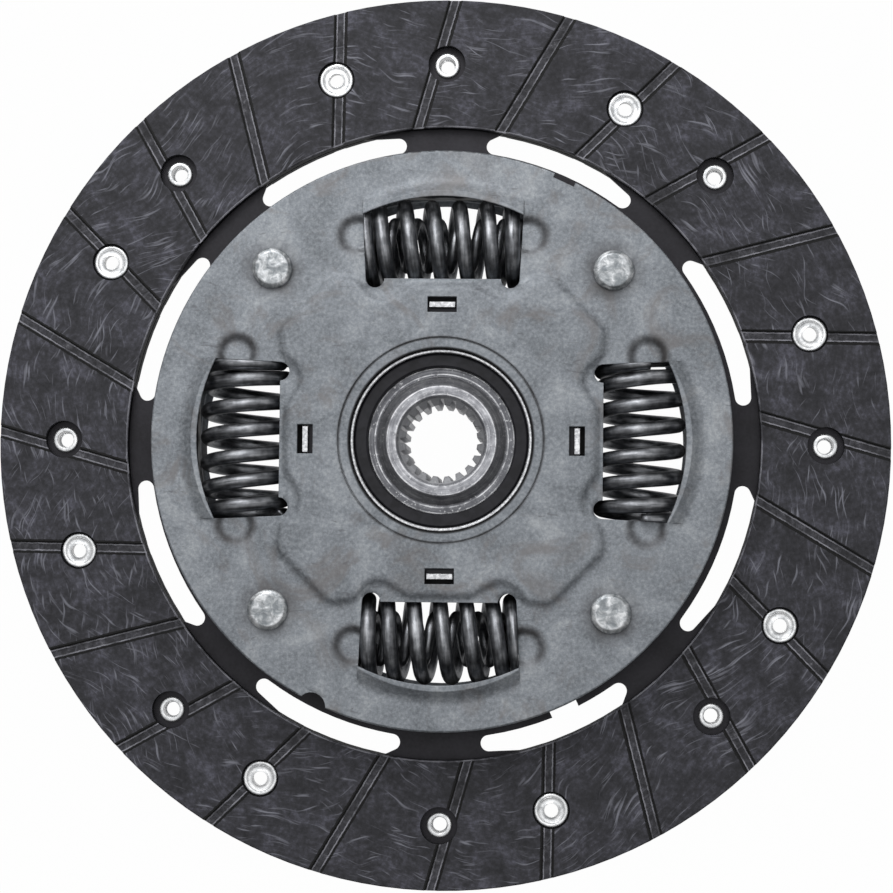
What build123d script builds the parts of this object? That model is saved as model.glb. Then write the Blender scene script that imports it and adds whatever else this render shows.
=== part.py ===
from build123d import *
from math import acos, asin, atan2, cos, degrees, hypot, pi, radians, sin, sqrt, tan
import os

# Clutch disc with a torsion damper. The origin is on the hub axis at the hub's rear end, and +Z
# points to the damper side. All sizes are in millimetres and all angles in degrees.

os.makedirs("parts", exist_ok=True)

# ---------------------------------------------------------------- driving sizes

# Friction facings
facing_outer_radius = 110.0
facing_thickness = 3.5
facing_edge_chamfer = 0.3
groove_count = 24
groove_width = 2.8
groove_depth = 0.8
groove_offset = 27.7          # distance of each groove's centre line from the hub axis
groove_first_angle = 74.4     # direction of the first groove's normal
groove_overrun = 3.0          # how far the cutter runs past both rims

# Facing rivets
rivet_count = 8               # on each side
clenched_first_angle = 0.0    # rivets headed at the rear and clenched at the front
headed_first_angle = 17.0     # rivets headed at the front
rivet_head_radius = 4.2
rivet_head_thickness = 1.2
rivet_ring_depth = 0.25       # shallow hollow struck into the head
rivet_ring_rim = 1.0          # width of the rim around that hollow
rivet_shank_radius = 2.35
rivet_wall = 0.45
rivet_mouth_lip = 0.3         # how far the head's mouth closes in over the bore
clench_lip = 0.75             # how far the clenched end spreads past the shank
clench_height = 0.9
facing_web = 1.3              # what a counterbore leaves under a rivet head
counterbore_gap = 0.4         # radial, around a rivet head

# Cushion disc
cushion_height = 12.5         # middle of the cushion disc above the hub's rear end
cushion_thickness = 0.9
cushion_margin = 3.0          # how far it stays inside the facings' outer edge
cushion_ring_overlap = 4.8    # how far its inner ring reaches under the front cover
paddle_count = 8
slot_width = 7.6
slot_cover_gap = 2.1          # from the front cover's rim to the slots
slot_facing_overlap = 2.3     # how far the slots reach under the facings
slot_end_radius = 2.0
slot_start_angle = 7.65       # clockwise end of the first slot
slot_end_angle = 37.35        # anticlockwise end of the first slot
slot_edge_normal = 3.1        # direction of the normal of the slot's long straight edge
slot_side_lean = 32.5         # how far the normal of its short side leans past the slot's end
slit_angle = 21.7             # slit between two paddles
slit_width = 1.6
ear_overlap = 0.8             # how far each ear's circle reaches into the inner ring
locating_notch_angle = -65.0
locating_notch_width = 7.1
locating_notch_depth = 2.6

# Damper covers
sheet = 2.0
cover_margin = 10.2           # from the windows' outer edges to the rim
cover_gap = 13.9              # between the two covers' inner faces
edge_round = 0.4
plateau_rise = 1.0
plateau_slope = 56.0          # lean of the raised sheet's side from the vertical
plateau_crown_round = 1.6     # radius at the top of the slope
plateau_foot_round = 2.0      # radius at its foot
plateau_flat_inset = 8.45     # how much farther out its straight sides lie than the windows' inner edges
plateau_flat_half_length = 9.5
plateau_window_gap = 0.7      # between the raised sheet's foot and a window's inner edge
plateau_middle_half_length = 8.0
plateau_dip_depth = 5.0       # how far the foot is drawn in below a relief corner
plateau_dip_inset = 0.7
plateau_shoulder_rise = 1.1   # the foot's height past the relief corner
plateau_shoulder_outset = 3.9
plateau_corner_radius = 4.4
plateau_sink = 0.5            # how deep the raised solid stands in the flat sheet before the two are joined
rim_notch_angle = 65.2
rim_notch_width = 5.5
rim_notch_depth = 1.2
rim_dent_angle = -115.4
rim_dent_radius = 3.5
rim_dent_depth = 2.4
coin_width = 2.8              # ring pressed down around the front cover's hole
coin_depth = 0.3
coin_line = 0.35              # width and depth of the sharp line around that ring
front_hole_gap = 0.15
key_slot_length = 7.1
key_slot_width = 3.8

# Spring windows, the same in both covers
window_count = 4
window_inner_radius = 39.35
window_outer_radius = 60.6
window_half_width = 18.75     # at the inner edge
window_side_slope = 0.0493    # how much each side leans outward
relief_radius = 2.25
lip_rise = 1.55
lip_edge = 1.45               # the lip's cut edge in the middle
lip_end_edge = 0.5            # and at its ends
lip_lean = 1.2                # how far the cut edge leans in over the spring, in the middle
lip_end_lean = 2.5            # and at its ends
lip_foot = 4.2                # how far the slope behind the lip reaches, in the middle
lip_end_foot = 2.2            # and at its ends
lip_sink = 0.5                # how deep the lip's root stands in the sheet
lip_waist_height = 0.5        # where the slope behind the lip steepens
lip_waist = 1.9               # and how far out it is there, in the middle
lip_end_waist = 0.55          # and at the ends
pad_outset = 1.6              # centre of each pad beside its window
pad_wall_radius = 4.9
pad_radius = 2.9
pad_depth = 1.0

# Damper springs: every turn count includes the closed turn at each end
outer_wire_radius = 1.87
outer_turns = 6.7
outer_phases = (151.0, 167.0)   # where each wire starts around its spring's axis
single_wire_radius = 1.77
single_turns = 7.03
single_phases = (2.0, 292.5)
inner_spring_gap = 0.65       # radial, inside the outer spring
inner_wire_radius = 1.35
inner_turns = 8.2
inner_phases = (211.0, 218.0)
closed_turns = 0.85           # wound closed at each end
closing_turns = 0.3           # over which the pitch then opens

# Stop pins
stop_pin_count = 4
stop_pin_inset = 12.0         # from the covers' rim
stop_pin_radius = 4.0
stop_pin_shank_radius = 3.0
stop_pin_head_radius = 4.75
stop_pin_head_height = 1.9
stop_pin_head_round = 0.6

# Hub
hub_length = 26.0
hub_radius = 17.9
hub_rear_step = 1.9           # the rear end is this much slimmer
hub_rear_length = 8.0
hub_chamfer = 0.6
nose_step = 2.1               # flat ring in front, around the nose
nose_cone_width = 2.4
nose_height = 2.1
spline_count = 20
spline_major_radius = 10.25
spline_depth = 1.5
tooth_tip_width = 1.15
space_root_width = 0.9
bore_chamfer_width = 0.85     # past the spline's major radius
bore_chamfer_depth = 2.0
shoulder_step = 4.1
seat_step = 1.1               # the flange's toothed seat above the hub's body
seat_tooth_depth = 1.4
seat_tooth_count = 16
seat_tooth_width = 3.4

# Hub flange
flange_thickness = 5.0
flange_rim = 5.7              # outside the corners of its spring windows
flange_window_margin = 0.4    # radial room around the springs
turn_limit = 8.0              # travel each way before the stop pins meet the flange
stop_clearance = 0.3

# Friction pack between the flange and the covers
bearing_wall = 3.1
bearing_length = 4.85
bearing_chamfer = 0.35
bearing_flange_inset = 2.7    # inside the thrust plate's edge
bearing_flange_thickness = 2.3
collar_gap = 0.25             # between the bearing ring and the thrust plate's collar
collar_wall = 0.9
collar_length = 3.25
thrust_plate_thickness = 1.2
tab_length = 6.3
tab_thickness = 1.3
tab_height = 4.0
tab_slot_play = 1.2           # from a tab's outer face to the outer edge of its slot
disc_spring_play = 1.0        # radial, around the collar and inside the tabs
disc_spring_width = 8.2
disc_spring_thickness = 0.8
rear_bearing_wall = 2.3
rear_bearing_tail = 1.6       # how far the rear bearing ring stands out behind its cover
rear_bearing_rim_width = 3.7
rear_bearing_rim_thickness = 0.9
friction_ring_play = 2.4      # radial, around the hub's shoulder
friction_ring_width = 8.6

# Clearances
face_gap = 0.05               # between flat faces that slide on each other
running_gap = 0.08            # radial, between the hub and its bearing rings
fit_gap = 0.04                # radial, between pieces that are fastened together
spring_side_gap = 0.06        # between a spring and the edges of its window
spring_seat_gap = 0.05        # between a spring's ground end and its window

# ---------------------------------------------------------------- derived places

cover_radius = window_outer_radius + cover_margin
stop_pin_circle_radius = cover_radius - stop_pin_inset
slot_inner_radius = cover_radius + slot_cover_gap
slot_outer_radius = slot_inner_radius + slot_width
facing_inner_radius = slot_outer_radius - slot_facing_overlap
cushion_inner_radius = cover_radius - cushion_ring_overlap
cushion_outer_radius = facing_outer_radius - cushion_margin
ear_radius = cushion_inner_radius - stop_pin_circle_radius + ear_overlap
rivet_circle_radius = (facing_inner_radius + facing_outer_radius) / 2
counterbore_radius = rivet_head_radius + counterbore_gap
rivet_bore_radius = rivet_shank_radius - rivet_wall
rivet_mouth_radius = rivet_bore_radius - rivet_mouth_lip
clench_radius = rivet_shank_radius + clench_lip

cushion_rear = cushion_height - cushion_thickness / 2
cushion_front = cushion_height + cushion_thickness / 2
rear_facing_back = cushion_rear - facing_thickness
friction_face = cushion_front + facing_thickness

rear_face = cushion_rear - sheet                  # rear cover's outer face
front_sheet = cushion_rear + cover_gap            # front cover's inner face
front_face = front_sheet + sheet                  # front cover's outer face
spring_height = cushion_rear + cover_gap / 2


def window_half_width_at(radius):
    """Half the width of a spring window at a distance from the hub axis."""
    return window_half_width + window_side_slope * (radius - window_inner_radius)


# A straight spring fits between the window's straight inner edge and the ends of its round outer edge.
window_corner_reach = sqrt(window_outer_radius**2 - window_half_width_at(window_outer_radius) ** 2)
spring_axis_radius = (window_inner_radius + window_corner_reach) / 2
spring_half_chord = (window_corner_reach - window_inner_radius) / 2 - spring_side_gap
spring_outer_radius = hypot(spring_half_chord, cover_gap / 2)
spring_half_length = window_half_width_at(spring_axis_radius) - spring_seat_gap
inner_spring_radius = spring_outer_radius - 2 * outer_wire_radius - inner_spring_gap
pad_circle_radius = (window_inner_radius + window_outer_radius) / 2

flange_bottom = spring_height - flange_thickness / 2
flange_top = spring_height + flange_thickness / 2
flange_window_inner = spring_axis_radius - spring_outer_radius - flange_window_margin
flange_window_outer = spring_axis_radius + spring_outer_radius + flange_window_margin
flange_radius = hypot(flange_window_outer, window_half_width_at(flange_window_outer)) + flange_rim

hub_rear_radius = hub_radius - hub_rear_step
nose_root_radius = hub_radius - nose_step
nose_face_radius = nose_root_radius - nose_cone_width
spline_minor_radius = spline_major_radius - spline_depth
bore_chamfer_radius = spline_major_radius + bore_chamfer_width
shoulder_radius = hub_radius + shoulder_step
seat_root_radius = hub_radius + seat_step
seat_tip_radius = seat_root_radius + seat_tooth_depth

bearing_inner_radius = hub_radius + running_gap
bearing_outer_radius = bearing_inner_radius + bearing_wall
bearing_bottom = flange_top + face_gap
collar_inner_radius = bearing_outer_radius + collar_gap
collar_outer_radius = collar_inner_radius + collar_wall
front_hole_radius = collar_outer_radius + front_hole_gap
disc_spring_inner_radius = collar_outer_radius + disc_spring_play
disc_spring_outer_radius = disc_spring_inner_radius + disc_spring_width
thrust_plate_radius = disc_spring_outer_radius + disc_spring_play + tab_thickness
bearing_flange_radius = thrust_plate_radius - bearing_flange_inset
key_slot_radius = thrust_plate_radius + tab_slot_play - key_slot_width / 2
thrust_bottom = bearing_bottom + bearing_flange_thickness + face_gap
thrust_top = thrust_bottom + thrust_plate_thickness
rear_bearing_radius = bearing_inner_radius + rear_bearing_wall
rear_bearing_rim_radius = rear_bearing_radius + rear_bearing_rim_width
friction_ring_inner_radius = shoulder_radius + friction_ring_play
friction_ring_outer_radius = friction_ring_inner_radius + friction_ring_width
rear_bearing_top = cushion_rear + face_gap + rear_bearing_rim_thickness
shoulder_bottom = rear_bearing_top + face_gap
window_angles = [index * 360 / window_count for index in range(window_count)]
stop_first_angle = 180 / stop_pin_count           # half way between two windows


# ---------------------------------------------------------------- helpers


def polar(radius, angle):
    """Point at a radius and an angle around the hub axis."""
    return (radius * cos(radians(angle)), radius * sin(radians(angle)))


def ring(outer, inner, low, high):
    """Flat ring around the hub axis."""
    return Pos(0, 0, low) * extrude(Circle(outer) - Circle(inner), amount=high - low)


def disc(radius, low, high):
    """Round disc on the local Z axis."""
    return Pos(0, 0, low) * extrude(Circle(radius), amount=high - low)


def turned(points):
    """Solid turned around the Z axis from (radius, height) points."""
    profile = make_face(Polyline([(radius, 0, height) for radius, height in points], close=True))
    return revolve(profile, axis=Axis.Z)


def around(shape, count, first_angle=0.0):
    """Copies of a shape spaced evenly around the hub axis."""
    return [Rot(0, 0, first_angle + index * 360 / count) * shape for index in range(count)]


def save(name, shape):
    """Write one node."""
    export_step(shape, f"parts/{name}.step")


# ---------------------------------------------------------------- friction facings and rivets


def make_facing(low, high, face_height, inward, headed_angle, open_angle):
    """Moulded ring with slanting grooves, counterbores for its own rivet heads and open holes."""
    body = ring(facing_outer_radius, facing_inner_radius, low, high)
    rim = body.faces().filter_by(Axis.Z).sort_by(Axis.Z)[-1 if inward < 0 else 0].edges()
    body = chamfer(rim, facing_edge_chamfer)
    near = sqrt(facing_inner_radius**2 - groove_offset**2)
    far = sqrt(facing_outer_radius**2 - groove_offset**2)
    groove = Pos(groove_offset, -(near + far) / 2, face_height) * Box(
        groove_width, far - near + 2 * groove_overrun, 2 * groove_depth
    )
    on_circle = Pos(rivet_circle_radius, 0, 0)
    seat = face_height + inward * (facing_thickness - facing_web)
    counterbore = on_circle * disc(counterbore_radius, min(face_height, seat), max(face_height, seat))
    shank_hole = on_circle * disc(rivet_shank_radius + fit_gap, low, high)
    open_hole = on_circle * disc(counterbore_radius, low, high)
    cuts = around(groove, groove_count, groove_first_angle)
    cuts += around(counterbore, rivet_count, headed_angle) + around(shank_hole, rivet_count, headed_angle)
    cuts += around(open_hole, rivet_count, open_angle)
    return body - cuts


def make_rivet():
    """Tubular rivet with its head seated at height 0 and its clenched end behind the paddle."""
    grip = facing_web + cushion_thickness
    bead = clench_radius - rivet_shank_radius
    head = rivet_head_thickness
    return turned(
        [
            (rivet_mouth_radius, head),
            (rivet_mouth_radius + rivet_ring_depth, head - rivet_ring_depth),
            (rivet_head_radius - rivet_ring_rim - rivet_ring_depth, head - rivet_ring_depth),
            (rivet_head_radius - rivet_ring_rim, head),
            (rivet_head_radius - rivet_ring_depth, head),
            (rivet_head_radius, head - rivet_ring_depth),
            (rivet_head_radius, 0),
            (rivet_shank_radius, 0),
            (rivet_shank_radius, -grip),
            (clench_radius, -grip),
            (clench_radius, -grip - clench_height + bead),
            (rivet_shank_radius, -grip - clench_height),
            (rivet_bore_radius, -grip - clench_height),
            (rivet_bore_radius, head / 3),
            (rivet_mouth_radius, head / 2),
        ]
    )


save(
    "front_facing",
    make_facing(cushion_front, friction_face, friction_face, -1, headed_first_angle, clenched_first_angle),
)
save(
    "rear_facing",
    make_facing(rear_facing_back, cushion_rear, rear_facing_back, 1, clenched_first_angle, headed_first_angle),
)

rivet = make_rivet()
front_rivet = Pos(rivet_circle_radius, 0, cushion_front + facing_web) * rivet
rear_rivet = Pos(rivet_circle_radius, 0, cushion_rear - facing_web) * Rot(180, 0, 0) * rivet
save("front_facing_rivets", Compound(around(front_rivet, rivet_count, headed_first_angle)))
save("rear_facing_rivets", Compound(around(rear_rivet, rivet_count, clenched_first_angle)))

# ---------------------------------------------------------------- cushion disc


def make_slot():
    """Opening between two necks: a round tip at one end and a leaning side at the other."""
    end_circle = slot_inner_radius + slot_end_radius
    end_inset = degrees(asin(slot_end_radius / end_circle))
    tip_angle = slot_start_angle + end_inset
    far_angle = slot_end_angle - end_inset
    side_normal = slot_end_angle + slot_side_lean

    def on_corner(centre_angle, direction):
        return Vector(*polar(end_circle, centre_angle)) + Vector(*polar(slot_end_radius, direction))

    def outer_angle(start, normal_angle):
        """Angle at which the straight edge through start meets the slot's outer radius."""
        distance = start.dot(Vector(*polar(1, normal_angle)))
        swing = degrees(acos(distance / slot_outer_radius))
        return normal_angle + (swing if degrees(atan2(start.Y, start.X)) > normal_angle else -swing)

    tip_out = on_corner(tip_angle, slot_edge_normal)
    tip_in = polar(slot_inner_radius, tip_angle)
    far_in = polar(slot_inner_radius, far_angle)
    far_out = on_corner(far_angle, side_normal)
    edge_end = outer_angle(tip_out, slot_edge_normal)
    side_end = outer_angle(far_out, side_normal)
    edge_point = polar(slot_outer_radius, edge_end)
    side_point = polar(slot_outer_radius, side_end)
    return make_face(
        [
            ThreePointArc(tip_out, on_corner(tip_angle, (slot_edge_normal + tip_angle - 180) / 2), tip_in),
            ThreePointArc(tip_in, polar(slot_inner_radius, (tip_angle + far_angle) / 2), far_in),
            ThreePointArc(far_in, on_corner(far_angle, (far_angle + 180 + side_normal) / 2), far_out),
            Line(far_out, side_point),
            ThreePointArc(side_point, polar(slot_outer_radius, (side_end + edge_end) / 2), edge_point),
            Line(edge_point, tip_out),
        ]
    )


def make_cushion_disc():
    """Spring steel disc: an inner ring with ears for the stop pins, and paddles under the facings."""
    plate = Circle(cushion_outer_radius) - Circle(cushion_inner_radius)
    ear = Pos(stop_pin_circle_radius, 0) * Circle(ear_radius)
    ear_hole = Pos(stop_pin_circle_radius, 0) * Circle(stop_pin_shank_radius + fit_gap)
    plate += around(ear, stop_pin_count, stop_first_angle)
    plate -= around(ear_hole, stop_pin_count, stop_first_angle)
    plate -= around(make_slot(), paddle_count)
    slit_start = slot_outer_radius - slot_end_radius
    slit_length = cushion_outer_radius - slit_start + slot_end_radius
    slit = Pos(slit_start + slit_length / 2, 0) * Rectangle(slit_length, slit_width)
    plate -= around(slit, paddle_count, slit_angle)
    rivet_hole = Pos(rivet_circle_radius, 0) * Circle(rivet_shank_radius + fit_gap)
    plate -= around(rivet_hole, rivet_count, headed_first_angle)
    plate -= around(rivet_hole, rivet_count, clenched_first_angle)
    notch = Pos(slot_inner_radius, 0) * Rectangle(2 * locating_notch_depth, locating_notch_width)
    plate -= Rot(0, 0, locating_notch_angle) * notch
    return Pos(0, 0, cushion_rear) * extrude(plate, amount=cushion_thickness)


save("cushion_disc", make_cushion_disc())

# ---------------------------------------------------------------- damper covers


def trapezoid(inner_radius, outer_radius):
    """Outline with a window's leaning sides, straight at both radii, around the local X axis."""
    near = window_half_width_at(inner_radius)
    far = window_half_width_at(outer_radius)
    corners = [(inner_radius, -near), (outer_radius, -far), (outer_radius, far), (inner_radius, near)]
    return make_face(Polyline(corners, close=True))


def make_window():
    """Cover window: straight inner edge with relief corners, leaning sides and a round outer edge."""
    opening = trapezoid(window_inner_radius, window_outer_radius + 1) & Circle(window_outer_radius)
    relief_offset = window_half_width - relief_radius
    opening += [Pos(window_inner_radius, side * relief_offset) * Circle(relief_radius) for side in (-1, 1)]
    return opening


def lip_section(height, inner_middle, inner_end, outer_middle, outer_end):
    """Crescent across the local X axis between two arcs, each given by its middle and its ends."""
    half = window_half_width_at(window_corner_reach)
    inner = ThreePointArc((inner_end, -half), (inner_middle, 0), (inner_end, half))
    outer = ThreePointArc((outer_end, half), (outer_middle, 0), (outer_end, -half))
    ends = [Line(inner @ 1, outer @ 0), Line(outer @ 1, inner @ 0)]
    return Pos(0, 0, height) * make_face([inner, ends[0], outer, ends[1]])


def make_lips(face_height, outward):
    """Hooded lips on the windows' outer edges, which rise from the sheet and lean in over the springs."""
    middle, end = window_outer_radius, window_corner_reach
    root = lip_section(
        face_height - outward * lip_sink,
        middle + lip_sink,
        end + lip_sink,
        middle + lip_foot + lip_sink,
        end + lip_end_foot + lip_sink,
    )
    waist = lip_section(
        face_height + outward * lip_waist_height,
        middle - lip_lean * lip_waist_height / lip_rise,
        end - lip_end_lean * lip_waist_height / lip_rise,
        middle + lip_waist,
        end + lip_end_waist,
    )
    tip = lip_section(
        face_height + outward * lip_rise,
        middle - lip_lean,
        end - lip_end_lean,
        middle - lip_lean + lip_edge,
        end - lip_end_lean + lip_end_edge,
    )
    return around(loft([root, waist, tip], ruled=True), window_count)


def make_pads(face_height, outward):
    """Half-round dents beside the windows: the hollows in the outer face and the bosses behind them."""
    turn_over = Rot(0, 0, 0) if outward > 0 else Rot(180, 0, 0)
    wall = pad_wall_radius - pad_radius
    hollow = turned(
        [
            (0, 0),
            (pad_wall_radius, 0),
            (pad_wall_radius - wall / 4, -pad_depth / 6),
            (pad_radius + wall / 4, -pad_depth * 5 / 6),
            (pad_radius, -pad_depth),
            (0, -pad_depth),
        ]
    )
    bulge = sheet / 4
    boss = Pos(0, 0, -sheet - pad_depth / 2) * Cone(pad_radius + bulge, pad_wall_radius + bulge, pad_depth)
    offset_along = window_half_width_at(pad_circle_radius) + pad_outset
    places = [Pos(pad_circle_radius, side * offset_along, face_height) * turn_over for side in (-1, 1)]
    hollows = [copy for place in places for copy in around(place * hollow, window_count)]
    bosses = [copy for place in places for copy in around(place * boss, window_count)]
    return hollows, bosses


def make_blank(face_height, outward):
    """Round sheet with its outer rim rounded."""
    low = min(face_height, face_height - outward * sheet)
    blank = disc(cover_radius, low, low + sheet)
    return fillet(blank.faces().sort_by(Axis.Z)[-1 if outward > 0 else 0].edges(), edge_round)


def cut_cover(cover, face_height, outward, hole_radius):
    """A pressed sheet's pads, spring windows with their lips, stop pin holes and middle hole."""
    low = min(face_height, face_height - outward * sheet)
    deep = low - 2 * pad_depth
    through = sheet + 4 * pad_depth
    hollows, bosses = make_pads(face_height, outward)
    cover = cover + bosses - hollows
    cover -= around(Pos(0, 0, deep) * extrude(make_window(), amount=through), window_count)
    pin_hole = Pos(stop_pin_circle_radius, 0, 0) * disc(stop_pin_shank_radius + fit_gap, low, low + sheet)
    cover -= around(pin_hole, stop_pin_count, stop_first_angle)
    cover += make_lips(face_height, outward)
    return cover - disc(hole_radius, deep, deep + through)


def make_plateau_outline():
    """Foot of the raised sheet: straight between the windows and drawn in beside each window."""
    middle = window_inner_radius - plateau_window_gap
    relief_offset = window_half_width - relief_radius
    flat_distance = window_inner_radius + plateau_flat_inset
    corner = Vector(*polar(flat_distance, stop_first_angle))
    corner += Vector(*polar(plateau_flat_half_length, stop_first_angle - 90))
    half = [
        (middle, plateau_middle_half_length),
        (middle - plateau_dip_depth, relief_offset - plateau_dip_inset),
        (middle + plateau_shoulder_rise, relief_offset + plateau_shoulder_outset),
        (corner.X, corner.Y),
    ]
    sides = [(x, -y) for x, y in reversed(half)] + half
    points = [Vector(x, y).rotate(Axis.Z, angle) for angle in window_angles for x, y in sides]
    outline = make_face(Polyline(points, close=True))
    return fillet(outline.vertices(), plateau_corner_radius)


def raise_outline(outline, low, crown_round):
    """Solid over an outline with the plateau's sloping side, rounded on top and standing a little deep."""
    slope = tan(radians(plateau_slope))
    lower = offset(outline, amount=plateau_sink * slope)
    upper = offset(outline, amount=-plateau_rise * slope)
    body = loft([Pos(0, 0, low - plateau_sink) * lower, Pos(0, 0, low + plateau_rise) * upper], ruled=True)
    return fillet(body.faces().sort_by(Axis.Z)[-1].edges(), crown_round)


def round_foot(shape, height, radius):
    """Round the inside corner at the foot of the plateau's slope, at a given height."""
    edges = []
    for edge in shape.edges():
        middle = edge.center()
        distance = hypot(middle.X, middle.Y)
        if abs(middle.Z - height) < face_gap / 10 and hub_radius < distance < stop_pin_circle_radius:
            edges.append(edge)
    return fillet(edges, radius)


def make_front_cover():
    """Front cover: the sheet with its raised centre, the coined hole and the key slots."""
    outline = make_plateau_outline()
    bend_shift = sheet * tan(radians((90 - plateau_slope) / 2))
    inside = raise_outline(offset(outline, amount=-bend_shift), front_sheet, plateau_crown_round * 2 / 3)
    cover = make_blank(front_face, 1) + raise_outline(outline, front_face, plateau_crown_round)
    cover = round_foot(cover, front_face, plateau_foot_round) - inside
    cover = round_foot(cover, front_sheet, plateau_foot_round * 2 / 3)
    cover = cut_cover(cover, front_face, 1, front_hole_radius)
    top = front_face + plateau_rise
    coin_radius = front_hole_radius + coin_width
    coin_floor = top - coin_depth
    cover -= disc(coin_radius, coin_floor, top)
    cover -= ring(coin_radius, coin_radius - coin_line, coin_floor - coin_line, top)
    key_slot = Pos(key_slot_radius, 0, front_face) * Box(key_slot_width, key_slot_length, 3 * sheet)
    cover -= around(key_slot, window_count)
    notch = Pos(cover_radius, 0, front_face) * Box(2 * rim_notch_depth, rim_notch_width, 3 * sheet)
    dent = Pos(cover_radius - rim_dent_depth + rim_dent_radius, 0, 0) * disc(
        rim_dent_radius, front_sheet, front_face
    )
    return cover - Rot(0, 0, rim_notch_angle) * notch - Rot(0, 0, rim_dent_angle) * dent


save("front_cover", make_front_cover())
save("rear_cover", cut_cover(make_blank(rear_face, -1), rear_face, -1, rear_bearing_radius + fit_gap))


def make_stop_pin():
    """Shouldered pin that holds the covers apart, riveted over at both ends."""
    head = stop_pin_head_height
    edge = stop_pin_head_round
    return turned(
        [
            (0, rear_face - head),
            (stop_pin_head_radius - edge, rear_face - head),
            (stop_pin_head_radius, rear_face - head + edge),
            (stop_pin_head_radius, rear_face),
            (stop_pin_shank_radius, rear_face),
            (stop_pin_shank_radius, cushion_front),
            (stop_pin_radius, cushion_front),
            (stop_pin_radius, front_sheet),
            (stop_pin_shank_radius, front_sheet),
            (stop_pin_shank_radius, front_face),
            (stop_pin_head_radius, front_face),
            (stop_pin_head_radius, front_face + head - edge),
            (stop_pin_head_radius - edge, front_face + head),
            (0, front_face + head),
        ]
    )


stop_pin = Pos(stop_pin_circle_radius, 0, 0) * make_stop_pin()
save("stop_pins", Compound(around(stop_pin, stop_pin_count, stop_first_angle)))

# ---------------------------------------------------------------- damper springs


def coil_spring(outer_radius, wire_radius, turns, start_angle, hand):
    """Round wire spring along the local Y axis, closed at both ends and ground flat to the window.

    The coils fan out with the window's sides: each point's place along the axis is stretched by its
    distance outward from the spring's axis.
    """
    steps_per_turn = 12
    steps = round(turns * steps_per_turn)
    mean_radius = outer_radius - wire_radius
    closed_pitch = 2 * wire_radius + spring_seat_gap
    active_pitch = (2 * spring_half_length - 2 * closed_pitch) / (turns - 2)
    travelled = [0.0]
    for step in range(steps):
        turn = (step + 0.5) * turns / steps
        share = min(max((min(turn, turns - turn) - closed_turns) / closing_turns, 0), 1)
        share = share * share * (3 - 2 * share)
        pitch = closed_pitch + (active_pitch - closed_pitch) * share
        travelled.append(travelled[-1] + pitch * turns / steps)
    points = []
    for step, distance in enumerate(travelled):
        angle = radians(start_angle) + hand * 2 * pi * turns * step / steps
        outward = mean_radius * sin(angle)
        along = distance * 2 * spring_half_length / travelled[-1] - spring_half_length
        fanned = along * (1 + window_side_slope * outward / spring_half_length)
        points.append((outward, fanned, mean_radius * cos(angle)))
    path = Spline(*points)
    wire = sweep(Plane(origin=path @ 0, z_dir=path % 0) * Circle(wire_radius), path=path, is_frenet=True)
    reach = outer_radius + wire_radius
    near = spring_half_length - window_side_slope * reach
    far = spring_half_length + window_side_slope * reach
    wedge = make_face(Polyline([(-reach, -near), (reach, -far), (reach, far), (-reach, near)], close=True))
    return wire & Pos(0, 0, -reach) * extrude(wedge, amount=2 * reach)


for number, angle in enumerate((90, 270), start=1):
    place = Rot(0, 0, angle) * Pos(spring_axis_radius, 0, spring_height)
    phase = outer_phases[number - 1]
    outer_spring = coil_spring(spring_outer_radius, outer_wire_radius, outer_turns, phase, 1)
    save(f"outer_spring_{number}", place * outer_spring)
    phase = inner_phases[number - 1]
    inner_spring = coil_spring(inner_spring_radius, inner_wire_radius, inner_turns, phase, -1)
    save(f"inner_spring_{number}", place * inner_spring)
for number, angle in enumerate((0, 180), start=1):
    place = Rot(0, 0, angle) * Pos(spring_axis_radius, 0, spring_height)
    phase = single_phases[number - 1]
    single_spring = coil_spring(spring_outer_radius, single_wire_radius, single_turns, phase, 1)
    save(f"single_spring_{number}", place * single_spring)

# ---------------------------------------------------------------- hub and flange


def make_seat(gap=0.0):
    """Outline of the hub's toothed seat, grown by a clearance for the flange's bore."""
    reach = 4 * seat_tooth_depth
    tooth = Pos(seat_tip_radius, 0) * Rectangle(reach, seat_tooth_width + 2 * gap) & Circle(seat_tip_radius + gap)
    return Circle(seat_root_radius + gap) + around(tooth, seat_tooth_count)


def make_spline_space():
    """Space between two spline teeth, narrowing outward."""
    pitch = 2 * pi * spline_minor_radius / spline_count
    mouth = (pitch - tooth_tip_width) / 2
    root = space_root_width / 2
    slope = (mouth - root) / (spline_major_radius - spline_minor_radius)
    start = spline_minor_radius - 1
    corners = [
        (start, -mouth - slope),
        (spline_major_radius, -root),
        (spline_major_radius, root),
        (start, mouth + slope),
    ]
    return make_face(Polyline(corners, close=True))


def make_hub():
    """Turned hub with a splined bore, a shoulder and a toothed seat for the flange."""
    nose_foot = hub_length - nose_height
    body = turned(
        [
            (0, 0),
            (hub_rear_radius - hub_chamfer, 0),
            (hub_rear_radius, hub_chamfer),
            (hub_rear_radius, hub_rear_length - (hub_radius - hub_rear_radius) / 2),
            (hub_radius, hub_rear_length),
            (hub_radius, shoulder_bottom),
            (shoulder_radius, shoulder_bottom),
            (shoulder_radius, flange_bottom),
            (hub_radius, flange_bottom),
            (hub_radius, nose_foot),
            (nose_root_radius, nose_foot),
            (nose_face_radius, hub_length),
            (0, hub_length),
        ]
    )
    body += Pos(0, 0, flange_bottom) * extrude(make_seat(), amount=flange_thickness)
    bore = Circle(spline_minor_radius) + around(make_spline_space(), spline_count)
    body -= extrude(bore, amount=hub_length)
    mouth = Cone(spline_minor_radius, bore_chamfer_radius, bore_chamfer_depth)
    body -= Pos(0, 0, hub_length - bore_chamfer_depth / 2) * mouth
    return body - Pos(0, 0, bore_chamfer_depth / 2) * Rot(180, 0, 0) * mouth


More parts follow.
